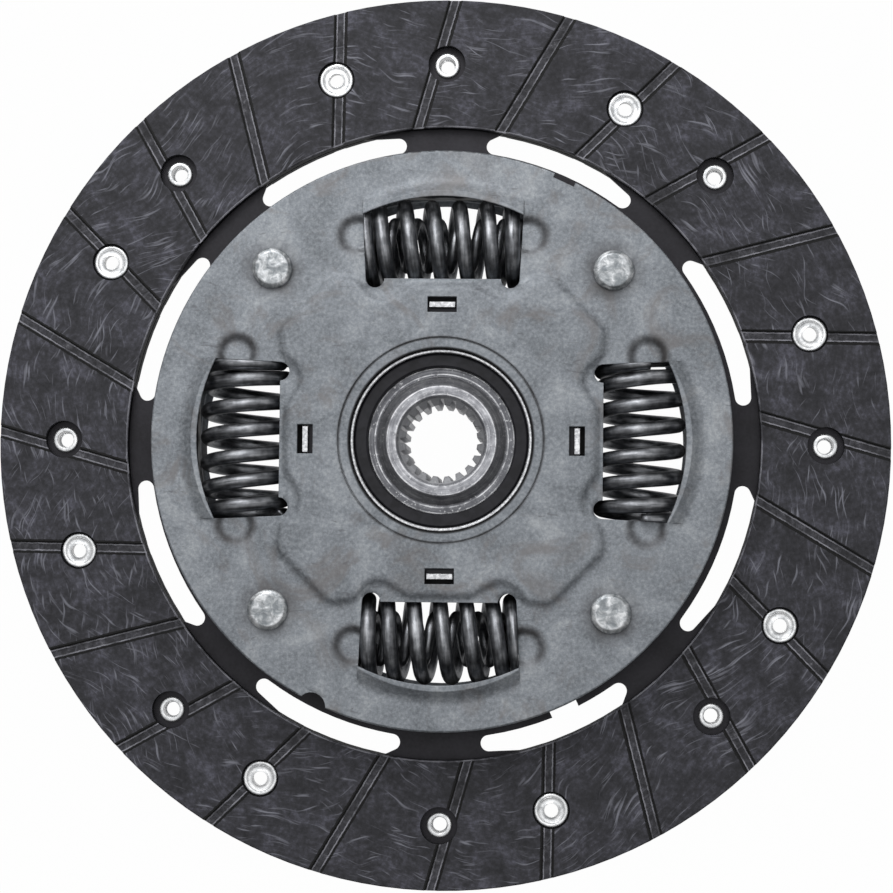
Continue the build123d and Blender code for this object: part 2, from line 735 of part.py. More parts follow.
def make_flange():
    """Plate that the springs drive, with a toothed bore, spring windows and notches for the stop pins."""
    plate = Circle(flange_radius) - make_seat(fit_gap)
    plate -= around(trapezoid(flange_window_inner, flange_window_outer), window_count)
    pin_half_angle = degrees(asin((stop_pin_radius + stop_clearance) / stop_pin_circle_radius))
    half_angle = pin_half_angle + turn_limit
    notch_reach = 2 * flange_radius
    sector = [(0, 0), polar(notch_reach, -half_angle), polar(notch_reach, half_angle)]
    notch_floor = stop_pin_circle_radius - stop_pin_radius - 2 * stop_clearance
    notch = make_face(Polyline(sector, close=True)) - Circle(notch_floor)
    plate -= around(notch, stop_pin_count, stop_first_angle)
    return Pos(0, 0, flange_bottom) * extrude(plate, amount=flange_thickness)


save("hub", make_hub())
save("hub_flange", make_flange())

# ---------------------------------------------------------------- friction pack


def make_front_bearing_ring():
    """Moulded ring that centres the hub in front, with a rim that slides on the flange."""
    top = bearing_bottom + bearing_length
    rim_top = bearing_bottom + bearing_flange_thickness
    return turned(
        [
            (bearing_inner_radius, bearing_bottom),
            (bearing_flange_radius, bearing_bottom),
            (bearing_flange_radius, rim_top),
            (bearing_outer_radius, rim_top),
            (bearing_outer_radius, top - bearing_chamfer),
            (bearing_outer_radius - bearing_chamfer, top),
            (bearing_inner_radius + bearing_chamfer, top),
            (bearing_inner_radius, top - bearing_chamfer),
        ]
    )


def make_thrust_plate():
    """Steel washer with a collar round the bearing ring and tabs that key it to the front cover."""
    plate = ring(thrust_plate_radius, collar_inner_radius, thrust_bottom, thrust_top)
    plate += ring(collar_outer_radius, collar_inner_radius, thrust_bottom, thrust_bottom + collar_length)
    rim = plate.edges().filter_by(GeomType.CIRCLE).group_by(Axis.Z)[-1]
    plate = chamfer(rim, collar_wall / 4)
    tab = Pos(thrust_plate_radius - tab_thickness / 2, 0, thrust_bottom + tab_height / 2) * Box(
        tab_thickness, tab_length, tab_height
    )
    return plate + around(tab, window_count)


def make_disc_spring():
    """Conical spring washer between the thrust plate and the front cover."""
    low = thrust_top + face_gap
    high = front_sheet + plateau_rise - face_gap
    return turned(
        [
            (disc_spring_inner_radius, low),
            (disc_spring_outer_radius, high - disc_spring_thickness),
            (disc_spring_outer_radius, high),
            (disc_spring_inner_radius, low + disc_spring_thickness),
        ]
    )


def make_rear_bearing_ring():
    """Moulded ring that centres the hub in the rear cover."""
    rim_bottom = cushion_rear + face_gap
    return turned(
        [
            (bearing_inner_radius, rear_face - rear_bearing_tail),
            (rear_bearing_radius, rear_face - rear_bearing_tail),
            (rear_bearing_radius, rim_bottom),
            (rear_bearing_rim_radius, rim_bottom),
            (rear_bearing_rim_radius, rear_bearing_top),
            (bearing_inner_radius, rear_bearing_top),
        ]
    )


save("front_bearing_ring", make_front_bearing_ring())
save("thrust_plate", make_thrust_plate())
save("disc_spring", make_disc_spring())
save("rear_bearing_ring", make_rear_bearing_ring())
save(
    "rear_friction_ring",
    ring(
        friction_ring_outer_radius,
        friction_ring_inner_radius,
        cushion_rear + face_gap,
        flange_bottom - face_gap,
    ),
)
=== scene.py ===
import math
from functools import partial
import bmesh
import bpy
import numpy as np
from mathutils import Matrix, Vector


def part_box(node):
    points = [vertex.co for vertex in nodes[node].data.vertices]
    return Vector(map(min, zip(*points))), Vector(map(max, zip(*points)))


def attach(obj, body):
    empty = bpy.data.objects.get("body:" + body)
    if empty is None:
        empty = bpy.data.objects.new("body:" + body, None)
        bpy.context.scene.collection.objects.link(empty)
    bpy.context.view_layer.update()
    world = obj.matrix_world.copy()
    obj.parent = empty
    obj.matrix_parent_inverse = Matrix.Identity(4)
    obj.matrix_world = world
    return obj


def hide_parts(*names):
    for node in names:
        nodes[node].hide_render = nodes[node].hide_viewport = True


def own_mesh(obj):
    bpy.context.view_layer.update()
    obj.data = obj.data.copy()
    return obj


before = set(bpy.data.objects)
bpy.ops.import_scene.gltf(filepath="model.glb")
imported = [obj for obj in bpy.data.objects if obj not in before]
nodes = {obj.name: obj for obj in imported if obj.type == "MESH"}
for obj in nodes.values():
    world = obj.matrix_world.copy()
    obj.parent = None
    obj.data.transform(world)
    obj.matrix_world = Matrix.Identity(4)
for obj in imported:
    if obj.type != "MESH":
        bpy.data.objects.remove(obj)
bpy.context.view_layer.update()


def linear(hexText):
    # sRGB hex to linear: each channel c becomes ((c + 0.055) / 1.055) to the power 2.4, or c / 12.92 if dark
    values = [int(hexText[i:i + 2], 16) / 255 for i in (1, 3, 5)]
    return tuple(v / 12.92 if v <= 0.04045 else ((v + 0.055) / 1.055) ** 2.4 for v in values) + (1.0,)


def addNode(tree, kind, settings=None, **inputs):
    # one node: settings by name, inputs by socket name (or i and its number), each a value or another node
    made = tree.nodes.new("ShaderNode" + kind)
    for name, value in (settings or {}).items():
        if name == "stops":                                  # a ramp's places and hex colours
            bar = made.color_ramp.elements
            while len(bar) < len(value):
                bar.new(0.5)
            for element, (place, colour) in zip(bar, value):
                element.position = place
                element.color = linear(colour)
        else:
            setattr(made, name, value)
    for name, value in inputs.items():
        socket = made.inputs[int(name[1:]) if name[1:].isdigit() else name.replace("_", " ")]
        if isinstance(value, bpy.types.Node):
            value = value.outputs[0]
        if isinstance(value, bpy.types.NodeSocket):
            tree.links.new(value, socket)
        else:
            socket.default_value = linear(value) if isinstance(value, str) else value
    return made


def startMaterial(name, metallic, roughness=0.5):
    # a new material with its shader's own values set, the roughness left out where a pattern gives it;
    # returns the material, its node adder, its shader and the place on the object in millimetres
    made = bpy.data.materials.new(name)
    made.use_nodes = True
    shader = made.node_tree.nodes["Principled BSDF"]
    shader.inputs["Metallic"].default_value = metallic
    shader.inputs["Roughness"].default_value = roughness
    add = partial(addNode, made.node_tree)
    inMetres = add("TexCoord").outputs["Object"]
    return made, add, shader, add("VectorMath", {"operation": "SCALE"}, i0=inMetres, Scale=1000.0)


def plug(shader, **inputs):
    # links nodes to the shader's own sockets
    tree = shader.id_data
    for name, value in inputs.items():
        source = value.outputs[0] if isinstance(value, bpy.types.Node) else value
        tree.links.new(source, shader.inputs[name.replace("_", " ")])


def dress(names, material):
    # gives the model's own pieces a material, in every slot they have
    for name in names:
        piece = nodes[name]
        if piece.data.materials:
            for slot in piece.material_slots:
                slot.material = material
        else:
            piece.data.materials.append(material)


camera = {
    "place": (0.03239, -0.03565, 0.7459),     # about 735 mm from the disc, a little to the right and below
    "aim": (0.00073, -0.00080, 0.0125),
    "roll": 0.62,                             # degrees
    "lens": 119.5,                            # and the sensor's width, both in millimetres
    "sensor": 36.0,
    "sees": (0.05, 20.0),                     # nearest and farthest, in metres
}


def makeCamera():
    # looks from its place to its aim, with its upright turned by the roll
    data = bpy.data.cameras.new("camera")
    data.lens = camera["lens"]
    data.sensor_width = camera["sensor"]
    data.clip_start, data.clip_end = camera["sees"]
    made = bpy.data.objects.new("camera", data)
    bpy.context.scene.collection.objects.link(made)
    place, aim = Vector(camera["place"]), Vector(camera["aim"])
    ahead = (aim - place).normalized()
    roll = math.radians(camera["roll"])
    right = ahead.cross(Vector((-math.sin(roll), math.cos(roll), 0))).normalized()
    up = right.cross(ahead)
    made.matrix_world = Matrix.Translation(place) @ Matrix((right, up, -ahead)).transposed().to_4x4()
    bpy.context.scene.camera = made


floorLook = {
    "size": 6.0,                # metres
    "colour": "#a8a8a8",        # what lights the disc from below
    "seen": 0.985,              # share of plain white in what the camera sees; the rest keeps a faint shadow
    "mirrored": 0.5,            # the same in what metal shows of it
}


def makeFloor():
    # a white board under the disc, clear when seen from below
    half = floorLook["size"] / 2
    corners = [(-half, -half, 0), (half, -half, 0), (half, half, 0), (-half, half, 0)]
    mesh = bpy.data.meshes.new("floor")
    mesh.from_pydata(corners, [], [(0, 1, 2, 3)])
    made = bpy.data.objects.new("floor", mesh)
    bpy.context.scene.collection.objects.link(made)
    material = bpy.data.materials.new("matt white board")
    material.use_nodes = True
    material.node_tree.nodes.clear()
    add = partial(addNode, material.node_tree)
    board = add("BsdfDiffuse", Color=floorLook["colour"])
    white = add("Emission", Color="#ffffff", Strength=1.0)
    path = add("LightPath").outputs
    mirrored = add("Math", {"operation": "MAXIMUM"}, i0=path["Is Glossy Ray"], i1=path["Is Transmission Ray"])
    mirrored = add("Math", {"operation": "MULTIPLY"}, i0=mirrored, i1=floorLook["mirrored"])
    seen = add("Math", {"operation": "MULTIPLY"}, i0=path["Is Camera Ray"], i1=floorLook["seen"])
    share = add("Math", {"operation": "MAXIMUM"}, i0=seen, i1=mirrored)
    fromAbove = add("MixShader", i0=share, i1=board, i2=white)
    below = add("NewGeometry").outputs["Backfacing"]
    add("OutputMaterial", Surface=add("MixShader", i0=below, i1=fromAbove, i2=add("BsdfTransparent")))
    mesh.materials.append(material)


lamps = {                    # places and sizes in metres
    "topSoftbox": {"place": (-0.13, 0.36, 0.42), "size": 0.3, "watts": 1.25},
    "overheadSoftbox": {"place": (0.0, 0.2, 1.4), "size": 0.8, "watts": 1.6},
}

surroundings = {             # a bright ceiling and dark sides, a little brighter towards the far side
    "low": 0.2,              # height of the direction, from 0 to 1, up to which it is dark
    "dark": 0.06,
    "ceiling": 0.8,
    "lean": 0.45,            # how much the far side adds to that height, and the near side takes away
}


def makeLamps():
    # square softboxes, each turned to the disc
    for name, lamp in lamps.items():
        data = bpy.data.lights.new(name, "AREA")
        data.shape = "SQUARE"
        data.size = lamp["size"]
        data.energy = lamp["watts"]
        made = bpy.data.objects.new(name, data)
        made.location = lamp["place"]
        made.rotation_euler = (-Vector(lamp["place"])).to_track_quat("-Z", "Y").to_euler()
        bpy.context.scene.collection.objects.link(made)


def makeSurroundings():
    # plain white to the camera, and dark sides under a bright ceiling to everything else
    world = bpy.data.worlds.new("studio")
    bpy.context.scene.world = world
    world.use_nodes = True
    world.node_tree.nodes.clear()
    add = partial(addNode, world.node_tree)
    ahead = add("SeparateXYZ", Vector=add("TexCoord").outputs["Generated"]).outputs
    height = add("Math", {"operation": "MULTIPLY_ADD"}, i0=ahead["Y"], i1=surroundings["lean"], i2=ahead["Z"])
    rise = add("MapRange", {"interpolation_type": "SMOOTHSTEP"}, Value=height, From_Min=surroundings["low"],
               To_Min=surroundings["dark"], To_Max=surroundings["ceiling"])
    around = add("Background", Color="#ffffff", Strength=rise)
    behind = add("Background", Color="#ffffff", Strength=1.0)
    seen = add("LightPath").outputs["Is Camera Ray"]
    add("OutputWorld", Surface=add("MixShader", i0=seen, i1=around, i2=behind))


print("clutch disc: camera, floor and lamps")
makeCamera()
makeFloor()
makeLamps()
makeSurroundings()
bpy.context.scene.view_settings.view_transform = "Standard"


wireLook = {
    "lines": (180, 12, 0),       # drawing lines: 180 to a metre of wire, and 12 round it, about 1 mm apart
    "worn": 3.5,                 # millimetres across a rubbed patch
    "tones": [(0.36, "#505154"), (0.5, "#7f8185"), (0.64, "#b6b8bc")],
    "gloss": (0.34, 0.48),       # roughness from the darkest to the palest patch
}


def springWire():
    # oil-tempered spring wire, coiled and blacked: dark and glossy, with drawing lines along the wire
    made, add, shader, coords = startMaterial("oil tempered spring wire", 1.0)
    look = wireLook
    wire = add("UVMap", {"uv_map": "wire"})
    lines = add("VectorMath", {"operation": "MULTIPLY"}, i0=wire, i1=look["lines"])
    drawn = add("TexNoise", Vector=lines, Scale=1.0, Detail=3.0)
    worn = add("TexNoise", Vector=coords, Scale=1 / look["worn"], Detail=5.0, Roughness=0.6)
    both = add("Mix", {"data_type": "FLOAT"}, i0=0.5, i2=drawn, i3=worn)
    tone = add("ValToRGB", {"stops": look["tones"]}, Fac=both)
    gloss = add("MapRange", Value=both, From_Min=0.35, From_Max=0.65, To_Min=look["gloss"][0],
                To_Max=look["gloss"][1])
    bump = add("Bump", Height=drawn, Strength=0.4, Distance=0.00006)
    plug(shader, Base_Color=tone, Roughness=gloss, Normal=bump)
    return made


springKinds = {
    # as wound in the model: outer radius and the wire's radius in metres; hand is -1 when wound the other way
    "outer": {"outer": 0.011294, "wire": 0.00187, "turns": 6.7, "hand": 1},
    "single": {"outer": 0.011294, "wire": 0.00177, "turns": 7.03, "hand": 1},
    "inner": {"outer": 0.006904, "wire": 0.00135, "turns": 8.2, "hand": -1},
}

springs = {
    # degrees: where the window is round the disc, and where round the spring its wire starts
    "outer_spring_1": {"kind": "outer", "window": 90, "phase": 151},
    "outer_spring_2": {"kind": "outer", "window": 270, "phase": 167},
    "single_spring_1": {"kind": "single", "window": 0, "phase": 2},
    "single_spring_2": {"kind": "single", "window": 180, "phase": 292.5},
    "inner_spring_1": {"kind": "inner", "window": 90, "phase": 211},
    "inner_spring_2": {"kind": "inner", "window": 270, "phase": 218},
}

springSeat = {                   # lengths in metres
    "axisRadius": 0.048312,      # from the hub's axis to each spring's axis
    "height": 0.019,
    "halfLength": 0.019142,
    "fan": 0.0493,               # how far the ends lean apart outward, as the windows' sides do
    "closed": 0.85,              # turns wound closed at each end
    "opening": 0.3,              # turns over which the pitch then opens
    "gap": 0.00005,              # between closed turns
    "keep": 0.8,                 # share of the length left when the hub has turned 8 degrees: the windows
                                 # leave 0.825, and at 0.8 the tilted ends cut less into their sides
    "around": 20,                # points round the wire
    "perTurn": 40,               # points along each turn
}


def coilLine(spring):
    # centre line of the wire: turns around the axis, with the pitch eased from closed to open at each end,
    # and each point's place along the axis stretched by its distance outward, so that the coils fan out
    seat = springSeat
    turns, half = spring["turns"], seat["halfLength"]
    turn = np.linspace(0, turns, int(turns * seat["perTurn"]))
    share = np.clip((np.minimum(turn, turns - turn) - seat["closed"]) / seat["opening"], 0, 1)
    share = share * share * (3 - 2 * share)
    closedPitch = 2 * spring["wire"] + seat["gap"]
    openPitch = (2 * half - 2 * closedPitch) / (turns - 2)
    pitch = closedPitch + (openPitch - closedPitch) * share
    along = np.concatenate(([0], np.cumsum((pitch[1:] + pitch[:-1]) / 2)))
    along = along / along[-1] * 2 * half - half
    angle = math.radians(spring["phase"]) + spring["hand"] * 2 * np.pi * turn
    mean = spring["outer"] - spring["wire"]
    outward = mean * np.sin(angle)
    return np.stack([outward, along * (1 + seat["fan"] * outward / half), mean * np.cos(angle)], 1)


def wireSurface(line, radius, around):
    # tube: each point of the line gets a circle in the plane across it, built from the line's direction and
    # the direction away from the spring's axis
    ahead = np.gradient(line, axis=0)
    ahead /= np.linalg.norm(ahead, axis=1, keepdims=True)
    away = line * (1, 0, 1)
    away -= ahead * np.sum(away * ahead, axis=1, keepdims=True)
    away /= np.linalg.norm(away, axis=1, keepdims=True)
    across = np.cross(ahead, away)
    turn = np.linspace(0, 2 * np.pi, around, endpoint=False)[None, :, None]
    return line[:, None] + radius * (np.cos(turn) * away[:, None] + np.sin(turn) * across[:, None])


def finishShell(mesh, merge=0):
    # joins points nearer than merge, turns every face of the closed surface outwards and shades it smooth
    shell = bmesh.new()
    shell.from_mesh(mesh)
    if merge:
        bmesh.ops.remove_doubles(shell, verts=shell.verts, dist=merge)
    bmesh.ops.recalc_face_normals(shell, faces=shell.faces)
    shell.to_mesh(mesh)
    shell.free()
    mesh.shade_smooth()


def makeSpring(name, spring, material):
    # wire wound as above, with its ends ground flat on the window's leaning sides
    seat, around = springSeat, springSeat["around"]
    line = coilLine(spring)
    points = wireSurface(line, spring["wire"], around)
    limit = seat["halfLength"] + seat["fan"] * points[..., 0]
    points[..., 1] = np.clip(points[..., 1], -limit, limit)
    points = points + (seat["axisRadius"], 0, seat["height"])
    turn = math.radians(spring["window"])
    cos, sin = math.cos(turn), math.sin(turn)
    x, y = points[..., 0].copy(), points[..., 1].copy()
    points[..., 0], points[..., 1] = x * cos - y * sin, x * sin + y * cos
    rows = len(line)
    first = np.arange(rows * around).reshape(rows, around)
    after = np.roll(first, -1, axis=1)
    quads = np.stack([first[:-1], after[:-1], after[1:], first[1:]], -1).reshape(-1, 4)
    faces = quads.tolist() + [first[0].tolist(), first[-1].tolist()]
    mesh = bpy.data.meshes.new(name + "_wire")
    mesh.from_pydata(points.reshape(-1, 3).tolist(), [], faces)
    finishShell(mesh)
    run = np.concatenate(([0], np.cumsum(np.linalg.norm(np.diff(line, axis=0), axis=1))))
    corner = np.empty(len(mesh.loops), dtype=np.int32)
    mesh.loops.foreach_get("vertex_index", corner)
    place = np.stack([run[corner // around], corner % around / around], 1)
    whole = place[:quads.size].reshape(-1, 4, 2)                     # the last strip closes at 1, not at 0
    wraps = np.ptp(whole[..., 1], axis=1) > 0.5
    whole[..., 1] += wraps[:, None] & (whole[..., 1] < 0.5)
    mesh.uv_layers.new(name="wire").data.foreach_set("uv", place.astype(np.float32).ravel())
    mesh.materials.append(material)
    made = bpy.data.objects.new(name + "_wire", mesh)
    bpy.context.scene.collection.objects.link(made)
    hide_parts(name)
    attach(made, "springs")
    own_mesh(made)


print("clutch disc: springs")
wireMaterial = springWire()
for springName, springPlace in springs.items():
    makeSpring(springName, springKinds[springPlace["kind"]] | springPlace, wireMaterial)


def roundedOutline(corners, steps=6):
    # corners are rows of radius, height and how far back the corner is cut; each becomes the curve
    # (1 - t)^2 start + 2t(1 - t) corner + t^2 end, and repeated points are dropped
    corners = np.array(corners, float)
    place, cut = corners[:, :2], corners[:, 2:]
    before, after = np.roll(place, 1, axis=0) - place, np.roll(place, -1, axis=0) - place
    start = place + cut * before / np.linalg.norm(before, axis=1, keepdims=True)
    end = place + cut * after / np.linalg.norm(after, axis=1, keepdims=True)
    t = np.linspace(0, 1, steps)[None, :, None]
    curve = (1 - t) ** 2 * start[:, None] + 2 * t * (1 - t) * place[:, None] + t ** 2 * end[:, None]
    curve = curve.reshape(-1, 2)
    return curve[np.linalg.norm(curve - np.roll(curve, 1, axis=0), axis=1) > 1e-6]


def turnedCopies(name, node, outline, centres, shape, material):
    # outline (millimetres) turned about an upright axis at each centre: x = centre + radius cos(turn) and
    # y = centre + radius sin(turn), where shape moves each radius and height by the copy's number and the
    # turn; an outline that starts and ends on the axis gets poles
    around = 64
    poles = outline[0, 0] == 0
    turn = np.linspace(0, 2 * np.pi, around, endpoint=False)[None, None, :]
    copy = np.arange(len(centres))[:, None, None]
    radius, height = shape(copy, turn, outline[None, :, :1], outline[None, :, 1:])
    x = radius * np.cos(turn) + np.array(centres)[:, :1, None]
    y = radius * np.sin(turn) + np.array(centres)[:, 1:, None]
    points = np.stack(np.broadcast_arrays(x, y, height), -1).reshape(-1, 3) / 1000
    rows = len(outline)
    index = np.arange(len(centres) * rows * around).reshape(len(centres), rows, around)
    across, up = np.roll(index, -1, axis=2), np.roll(index, -1, axis=1)
    quads = np.stack([index, across, np.roll(up, -1, axis=2), up], -1)
    if poles:
        quads = quads[:, :-1]
    mesh = bpy.data.meshes.new(name)
    mesh.from_pydata(points.tolist(), [], quads.reshape(-1, 4).tolist())
    finishShell(mesh, merge=1e-7)
    mesh.materials.append(material)
    made = bpy.data.objects.new(name, mesh)
    bpy.context.scene.collection.objects.link(made)
    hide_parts(node)
    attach(made, "disc")


def ringPlaces(radius, count, firstAngle):
    # centres spaced evenly round a circle
    angles = [math.radians(firstAngle + i * 360 / count) for i in range(count)]
    return [(radius * math.cos(angle), radius * math.sin(angle)) for angle in angles]


platingLook = {
    "pits": 0.5, "clouds": 2.2,                   # millimetres across
    "tones": [(0.36, "#b9bbbd"), (0.46, "#d6d8da"), (0.56, "#e9eaeb"), (0.66, "#f8f8f9")],
    "gloss": (0.4, 0.22),                         # roughness from the dullest to the palest patch
    "wall": "#fafafa", "wallRoughness": 0.14,     # upright walls, of which the punched bore's is the one seen, painted near white: a painted reflection
    "wallLean": 0.35,                             # up to this height of its normal a wall counts as upright
}


def platedRivets():
    # cold-headed tubular rivets, zinc plated: pale silver, softly mottled, with a few dull patches, and the
    # upright walls painted near white as a painted reflection in the bore
    made, add, shader, coords = startMaterial("zinc plated rivet steel", 0.75)
    look = platingLook
    pits = add("TexNoise", Vector=coords, Scale=1 / look["pits"], Detail=3.0, Roughness=0.6)
    clouds = add("TexNoise", Vector=coords, Scale=1 / look["clouds"], Detail=4.0)
    both = add("Mix", {"data_type": "FLOAT"}, i0=0.6, i2=pits, i3=clouds)
    tone = add("ValToRGB", {"stops": look["tones"]}, Fac=both)
    # upright walls, the bore's above all, painted near white: a painted reflection
    up = add("SeparateXYZ", Vector=add("NewGeometry").outputs["True Normal"]).outputs["Z"]
    upright = add("Math", {"operation": "COMPARE"}, i0=up, i1=0.0, i2=look["wallLean"])
    tone = add("Mix", {"data_type": "RGBA"}, i0=upright, i6=tone, i7=look["wall"]).outputs[2]
    gloss = add("MapRange", Value=both, From_Min=0.35, From_Max=0.65, To_Min=look["gloss"][0],
                To_Max=look["gloss"][1])
    gloss = add("Mix", {"data_type": "FLOAT"}, i0=upright, i2=gloss, i3=look["wallRoughness"])
    bump = add("Bump", Height=both, Strength=0.6, Distance=0.00012)
    plug(shader, Base_Color=tone, Roughness=gloss, Normal=bump)
    return made


rivets = {                                # radii and heights in millimetres
    "circle": 94.1, "count": 8,
    "head": 4.2, "headThickness": 1.2,
    "shank": 2.35, "bore": 2.0, "mouth": 1.7,
    "rim": 0.95, "hollow": 0.25,          # raised rim of the head, and how deep the dish inside it is
    "clench": 3.1, "clenchHeight": 0.9,
    "waver": 0.012,                       # share by which a head is out of round
}


def makeRivets(node, firstAngle, up, material):
    # tube with a dished head and a rolled clenched end; up is 1 where the head is on top, -1 where it is
    # below; its outline's corners are rows of radius, height over the head's seat, and how far it is rounded
    r = rivets
    low, high = (corner[2] * 1000 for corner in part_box(node))
    grip = high - low - r["headThickness"] - r["clenchHeight"]
    top, dish, end = r["headThickness"], r["headThickness"] - r["hollow"], -grip - r["clenchHeight"]
    rimStart = r["head"] - r["rim"]
    corners = [
        (r["mouth"], top - 0.05, 0.15), (r["mouth"] + 0.5, dish, 0.3), (rimStart - 0.3, dish, 0.4),
        (rimStart + 0.15, top, 0.3), (r["head"], top, 0.42), (r["head"], 0, 0.1), (r["shank"], 0, 0.05),
        (r["shank"], -grip, 0.05), (r["clench"], -grip, 0.25), (r["clench"], end, 0.5),
        (r["bore"], end, 0.18), (r["bore"], top / 3, 0.1), (r["mouth"], top / 2, 0.1),
    ]
    seat = high - r["headThickness"] if up > 0 else low + r["headThickness"]
    outline = roundedOutline([(radius, seat + up * height, cut) for radius, height, cut in corners])

    def outOfRound(copy, turn, radius, height):
        # the radius changes by a small share, as the sum of two waves round each rivet at its own angles
        wave = 0.6 * np.cos(2 * turn + copy * 2.1) + 0.4 * np.cos(3 * turn + copy * 4.7)
        return radius * (1 + r["waver"] * wave * (radius > r["shank"])), height

    centres = ringPlaces(r["circle"], r["count"], firstAngle)
    turnedCopies(node + "_rolled", node, outline, centres, outOfRound, material)


pinLook = {
    "patches": 2.2,                       # millimetres across
    "tones": [(0.38, "#7f8488"), (0.47, "#9a9ea1"), (0.54, "#b6b9bc"), (0.63, "#dcdee0")],
}


def hammeredPins():
    # bare steel pins, riveted over by a press tool: mottled in grey and silver patches
    made, add, shader, coords = startMaterial("riveted pin steel", 0.7, 0.38)
    patches = add("TexNoise", Vector=coords, Scale=1 / pinLook["patches"], Detail=5.0, Roughness=0.62,
                  Distortion=0.4)
    tone = add("ValToRGB", {"stops": pinLook["tones"]}, Fac=patches)
    bump = add("Bump", Height=patches, Strength=0.7, Distance=0.0002)
    plug(shader, Base_Color=tone, Normal=bump)
    return made


pins = {                                  # radii and heights in millimetres
    "circle": 58.8, "count": 4, "firstAngle": 45,
    "shank": 3.0, "middle": 4.0,
    "cushionFront": 12.95, "coverInside": 25.95,
    # half outline of a head: radius, depth below its top, and how far the corner is rounded; it ends at the
    # rim's lower side
    "crown": [(0, 0, 0), (2.2, 0, 0.5), (3.95, 0.05, 0.3),
              (4.85, 0.6, 0.25), (4.95, 1.05, 0.2), (4.95, 1.9, 0.2)],
    "flat": 1.5,                          # radius that the rings of points in each head's middle reach
    "roundTo": 4.2,                       # radius up to which the pins are truly round
    "relief": 0.12,                       # depth of the press marks on each head
    "struck": 0.9,                        # height of the part of a head that carries them
    "waver": 0.012,                       # share by which a head is out of round
}


def makePins(material):
    # stepped pin with a low domed head at each end, its top struck into shallow wedges round the middle
    p = pins
    low, high = (corner[2] * 1000 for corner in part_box("stop_pins"))
    middle, half = (low + high) / 2, (high - low) / 2
    head, headHeight = p["crown"][-1][:2]
    rear, front = low + headHeight, high - headHeight
    crown = [(radius, high - depth, cut) for radius, depth, cut in p["crown"]]
    body = [(p["shank"], front, 0), (p["shank"], p["coverInside"], 0), (p["middle"], p["coverInside"], 0),
            (p["middle"], p["cushionFront"], 0), (p["shank"], p["cushionFront"], 0), (p["shank"], rear, 0)]
    foot = [(radius, low + high - height, cut) for radius, height, cut in reversed(crown)]
    outline = roundedOutline(crown + body + foot, 8)
    inside = np.linspace(0, p["flat"], 7)[1:, None] * (1, 0)        # six rings across each flat middle
    start, end = outline[:1], outline[-1:]
    outline = np.concatenate([start, start + inside, outline[1:-1], (end + inside)[::-1], end])

    def struck(copy, turn, radius, height):
        # each head sinks by relief times the square of sin(pi out), where out is the share of the way to its
        # rim, times (0.5 + 0.25 of the sum of waves of 3, 5 and 7 wedges); the rim is a little out of round
        out = np.clip(radius / head, 0, 1)
        wedges = (np.cos(3 * turn + copy * 1.9) + 0.8 * np.cos(5 * turn + copy * 2.6 + 2 * out)
                  + 0.6 * np.cos(7 * turn + copy * 0.7))
        depth = p["relief"] * (0.5 + 0.25 * wedges) * np.sin(np.pi * out) ** 2
        depth = depth * (np.abs(height - middle) > half - p["struck"])
        waver = 1 + p["waver"] * np.cos(2 * turn + copy * 2.3) * (radius > p["roundTo"])
        return radius * waver, height - depth * np.sign(height - middle)

    centres = ringPlaces(p["circle"], p["count"], p["firstAngle"])
    turnedCopies("stop_pins_struck", "stop_pins", outline, centres, struck, material)


print("clutch disc: rivets and pins")
rivetMaterial = platedRivets()
makeRivets("front_facing_rivets", 17, 1, rivetMaterial)
makeRivets("rear_facing_rivets", 0, -1, rivetMaterial)
makePins(hammeredPins())


coverLook = {                # millimetres, except the two edges
    # far is the larger and near the smaller of a point's distances from the two upright middle planes
    "pin": (41.58, 41.58, 0), "pad": (49.975, 20.87, 0),     # far and near of their middles
    "padRing": 4.1, "coin": 25.02,                  # radii of a pad's edge and of the ring round the hub
    "pinPaintedShade": (5.0, 8.5), "padPaintedShade": (0.3, 1.8), "coinPaintedShade": (0.1, 0.6),      # painted shade: full at the first and none at the second, outward
    "holeRim": (22.55, 22.95),                      # radii: black painted shade at the hole's edge at the first, none at the second
    "windowFrom": 38.2, "windowHalf": 20.8, "windowReach": 61.3,     # least far, most near, greatest radius
    "slot": 33.03, "slotDeep": 3.0, "slotHalf": 4.8,                 # far, by how much, most near
    "bendsFrom": 26.5, "bendsTo": 68.5,             # radii between which the sheet's bends look soft
    "softBend": 0.0019, "crispEdge": 0.0003,        # metres: how far round a pressed bend and a cut edge look
    "clouds": 14, "crystals": 0.9,                  # sizes of the pattern, the crystals coarser than real
    "swirls": 20,
    "scuffs": (0.225, 0.75, 0.25),                  # to a millimetre: 4.4 mm long and 1.3 mm wide
    "cloudTones": [(0.36, "#686d72"), (0.46, "#7b8086"), (0.55, "#8d9298"), (0.66, "#a9adb1")],
    "crystalTones": [(0.33, "#505458"), (0.5, "#83888e"), (0.67, "#b4b8bc")],
    # the last two colours are painted shade: round the pins, the pads and the pressed ring, and black at the
    # hole's edge
    "rubbed": "#6f6a68", "scuffed": "#55565a", "paintedShade": "#403d3d", "rim": "#1a1a1c",
}


